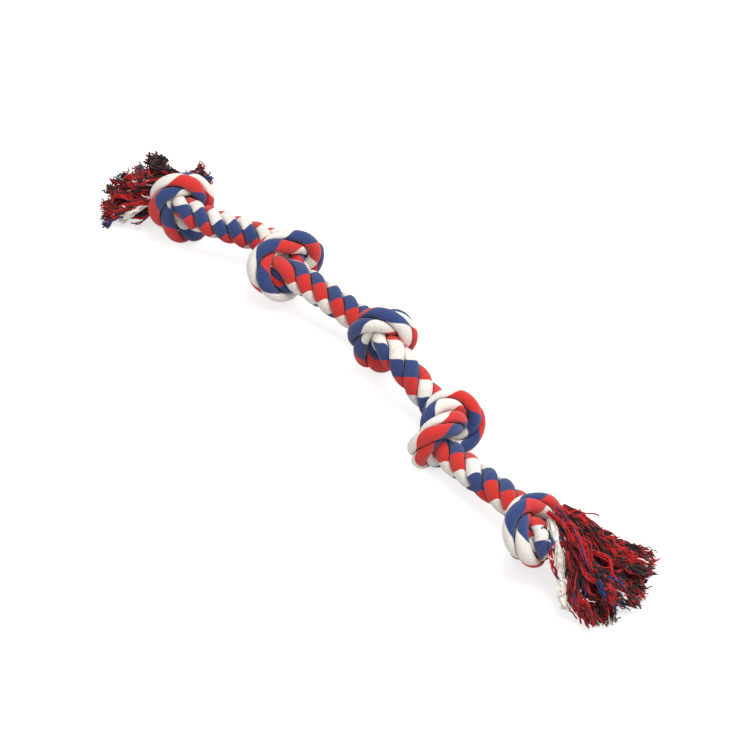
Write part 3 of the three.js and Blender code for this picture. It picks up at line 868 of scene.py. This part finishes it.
class ToySettings(bpy.types.PropertyGroup):
    """What can be set before the toy is built."""

    near_tufts: bpy.props.IntProperty(
        name="Near tufts",
        description="Tufts of yarn in a full lock of the near tassel",
        default=20,
        min=2,
        max=40,
    )
    far_tufts: bpy.props.IntProperty(
        name="Far tufts",
        description="Tufts of yarn in a full lock of the far tassel",
        default=12,
        min=2,
        max=40,
    )
    floor_size: bpy.props.FloatProperty(
        name="Floor size",
        description="Width of the studio floor",
        default=12.0,
        unit="LENGTH",
        subtype="DISTANCE",
    )
    light_power: bpy.props.FloatProperty(
        name="Light power",
        description="Power of the main soft light",
        default=32.0,
        unit="POWER",
    )


class OBJECT_OT_toy_knots(bpy.types.Operator):
    """Builds the five knots"""

    bl_idname = "object.toy_knots"
    bl_label = "Knots"

    def execute(self, context):
        for name, (start, stop) in zip(KNOT_NAMES, ROPE.spans):
            piece = rope_piece(f"{name}_rope", start, stop)
            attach(piece, name)
            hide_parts(*strand_nodes(name))
            path = ROPE.at(places_along(start, stop, SAMPLE_STEP))[0]
        return {"FINISHED"}


class OBJECT_OT_toy_stretches(bpy.types.Operator):
    """Builds the four free stretches, each in two halves"""

    bl_idname = "object.toy_stretches"
    bl_label = "Stretches"

    def execute(self, context):
        for k, name in enumerate(STRETCHES):
            start, stop = ROPE.spans[k][1], ROPE.spans[k + 1][0]
            middle = (start + stop) / 2
            for half, begin, end in (("low", start, middle), ("high", middle, stop)):
                piece = rope_piece(f"{name}_{half}", begin, end)
                near_knot, far_from_knot = (begin, end) if half == "low" else (end, begin)
                ends = ROPE.at(np.array([near_knot, far_from_knot]))[0]
                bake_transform(piece)
                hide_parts(*strand_nodes(name))
        return {"FINISHED"}


class OBJECT_OT_toy_tassels(bpy.types.Operator):
    """Builds both frayed ends: the necks and their loose yarns"""

    bl_idname = "object.toy_tassels"
    bl_label = "Tassels"

    def execute(self, context):
        settings = context.scene.rope_toy
        self.tassel("far", "knot_1", 0, math.pi, FAR_LOCKS, FAR_TASSEL_LENGTH, settings.far_tufts)
        self.tassel("near", "knot_5", -1, 0, NEAR_LOCKS, NEAR_TASSEL_LENGTH, settings.near_tufts)
        return {"FINISHED"}

    def tassel(self, end, knot, last, heading, locks, length, tufts):
        span = (0, ROPE.spans[0][0]) if end == "far" else (ROPE.spans[-1][1], ROPE.total)
        neck = rope_piece(f"{end}_neck_rope", *span)
        tip, root = ROPE.points[last], ROPE.at(np.array([span[1 if end == "far" else 0]]))[0][0]
        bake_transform(neck)
        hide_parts(*strand_nodes(f"{end}_neck"))
        way = (tip - root) / np.linalg.norm(tip - root)
        for k, lock in enumerate(locks):
            shape = Lock(tip + way * CUT_GAP, heading, lock, length)
            piece = lock_piece(f"{end}_tassel", shape, tip, way, tufts, TASSEL_SEEDS[end] + k)
            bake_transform(piece)
            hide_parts(f"{end}_tassel_{lock[0]}")


def look(thing, target):
    """Turns a camera or a light to face a place."""
    thing.rotation_euler = (Vector(target) - thing.location).to_track_quat("-Z", "Y").to_euler()


def soft_light(name, place, size, power):
    data = bpy.data.lights.new(name, "AREA")
    data.shape = "DISK"
    data.size = size
    data.energy = power
    light = bpy.data.objects.new(name, data)
    light.location = place
    look(light, (0, 0, 0))
    bpy.context.scene.collection.objects.link(light)


FLOOR_GLOW = 0.66  # what the camera sees added to the lit floor, so that it looks white
FLOOR_SHADES = [(0.0, grey(0.64)), (1.0, grey(0.66))]
FLOOR_GRAIN_SCALE = 30.0
FLOOR_GRAIN_DETAIL = 2.0
FLOOR_ROUGHNESS = 0.9
KEY_LIGHT_AWAY = 0.7
KEY_LIGHT_HEIGHT = 1.9
KEY_LIGHT_SIZE = 1.6
ROOM_LIGHT = 0.62
VIEW_DEPTH = 100


def floor_material():
    """A white floor that keeps the toy's soft shadow."""
    material, nodes, links, shader = node_tree("white_floor")
    place = nodes.new("ShaderNodeTexCoord").outputs["Object"]
    grain = noise(nodes, links, place, FLOOR_GRAIN_SCALE, FLOOR_GRAIN_DETAIL)
    links.new(ramp(nodes, links, grain, FLOOR_SHADES), shader.inputs["Base Color"])
    seen = nodes.new("ShaderNodeLightPath").outputs["Is Camera Ray"]
    shader.inputs["Emission Color"].default_value = (1, 1, 1, 1)
    links.new(maths(nodes, links, "MULTIPLY", seen, FLOOR_GLOW), shader.inputs["Emission Strength"])
    shader.inputs["Roughness"].default_value = FLOOR_ROUGHNESS
    shader.inputs["Specular IOR Level"].default_value = 0.0
    return material


class OBJECT_OT_toy_stage(bpy.types.Operator):
    """Sets up the camera, the floor and the soft studio light"""

    bl_idname = "object.toy_stage"
    bl_label = "Stage"

    def execute(self, context):
        scene = context.scene
        self.camera(scene)
        self.floor(scene)
        right = CAMERA_HEADING - math.pi / 2
        key = (KEY_LIGHT_AWAY * math.cos(right), KEY_LIGHT_AWAY * math.sin(right), KEY_LIGHT_HEIGHT)
        soft_light("key_light", key, KEY_LIGHT_SIZE, scene.rope_toy.light_power)
        world = scene.world or bpy.data.worlds.new("studio")
        scene.world = world
        world.use_nodes = True
        back = world.node_tree.nodes["Background"]
        back.inputs["Color"].default_value = (1, 1, 1, 1)
        back.inputs["Strength"].default_value = ROOM_LIGHT
        scene.view_settings.view_transform = "Standard"
        return {"FINISHED"}

    def floor(self, scene):
        size = scene.rope_toy.floor_size / 2
        corners = [(-size, -size, 0), (size, -size, 0), (size, size, 0), (-size, size, 0)]
        mesh = bpy.data.meshes.new("floor")
        mesh.from_pydata(corners, [], [(0, 1, 2, 3)])
        floor = bpy.data.objects.new("floor", mesh)
        scene.collection.objects.link(floor)
        mesh.materials.append(floor_material())

    def camera(self, scene):
        data = bpy.data.cameras.new("camera")
        data.sensor_width = SENSOR_WIDTH
        data.lens = SENSOR_WIDTH * PIXELS_PER_METRE * CAMERA_DISTANCE / PHOTO_WIDTH
        data.clip_end = VIEW_DEPTH
        camera = bpy.data.objects.new("camera", data)
        flat = math.cos(CAMERA_ELEVATION) * CAMERA_DISTANCE
        target = Vector(CAMERA_TARGET) + ROW_SHIFT
        camera.location = target + Vector((
            -flat * math.cos(CAMERA_HEADING),
            -flat * math.sin(CAMERA_HEADING),
            math.sin(CAMERA_ELEVATION) * CAMERA_DISTANCE,
        ))
        look(camera, target)
        scene.collection.objects.link(camera)
        scene.camera = camera


class VIEW3D_PT_rope_toy(bpy.types.Panel):
    """Lists the steps that build the toy"""

    bl_label = "Rope Dog Toy"
    bl_space_type = "VIEW_3D"
    bl_region_type = "UI"
    bl_category = "Rope Toy"

    def draw(self, context):
        for name in ("near_tufts", "far_tufts", "floor_size", "light_power"):
            self.layout.prop(context.scene.rope_toy, name)
        for operator in OPERATORS:
            self.layout.operator(operator.bl_idname)


OPERATORS = (OBJECT_OT_toy_stage, OBJECT_OT_toy_knots, OBJECT_OT_toy_stretches, OBJECT_OT_toy_tassels)
CLASSES = (ToySettings, *OPERATORS, VIEW3D_PT_rope_toy)


def register():
    for cls in CLASSES:
        bpy.utils.register_class(cls)
    bpy.types.Scene.rope_toy = bpy.props.PointerProperty(type=ToySettings)


def unregister():
    del bpy.types.Scene.rope_toy
    for cls in reversed(CLASSES):
        bpy.utils.unregister_class(cls)


def main():
    register()
    bpy.ops.object.toy_stage()
    bpy.ops.object.toy_knots()
    bpy.ops.object.toy_stretches()
    bpy.ops.object.toy_tassels()


if __name__ == "__main__":
    main()
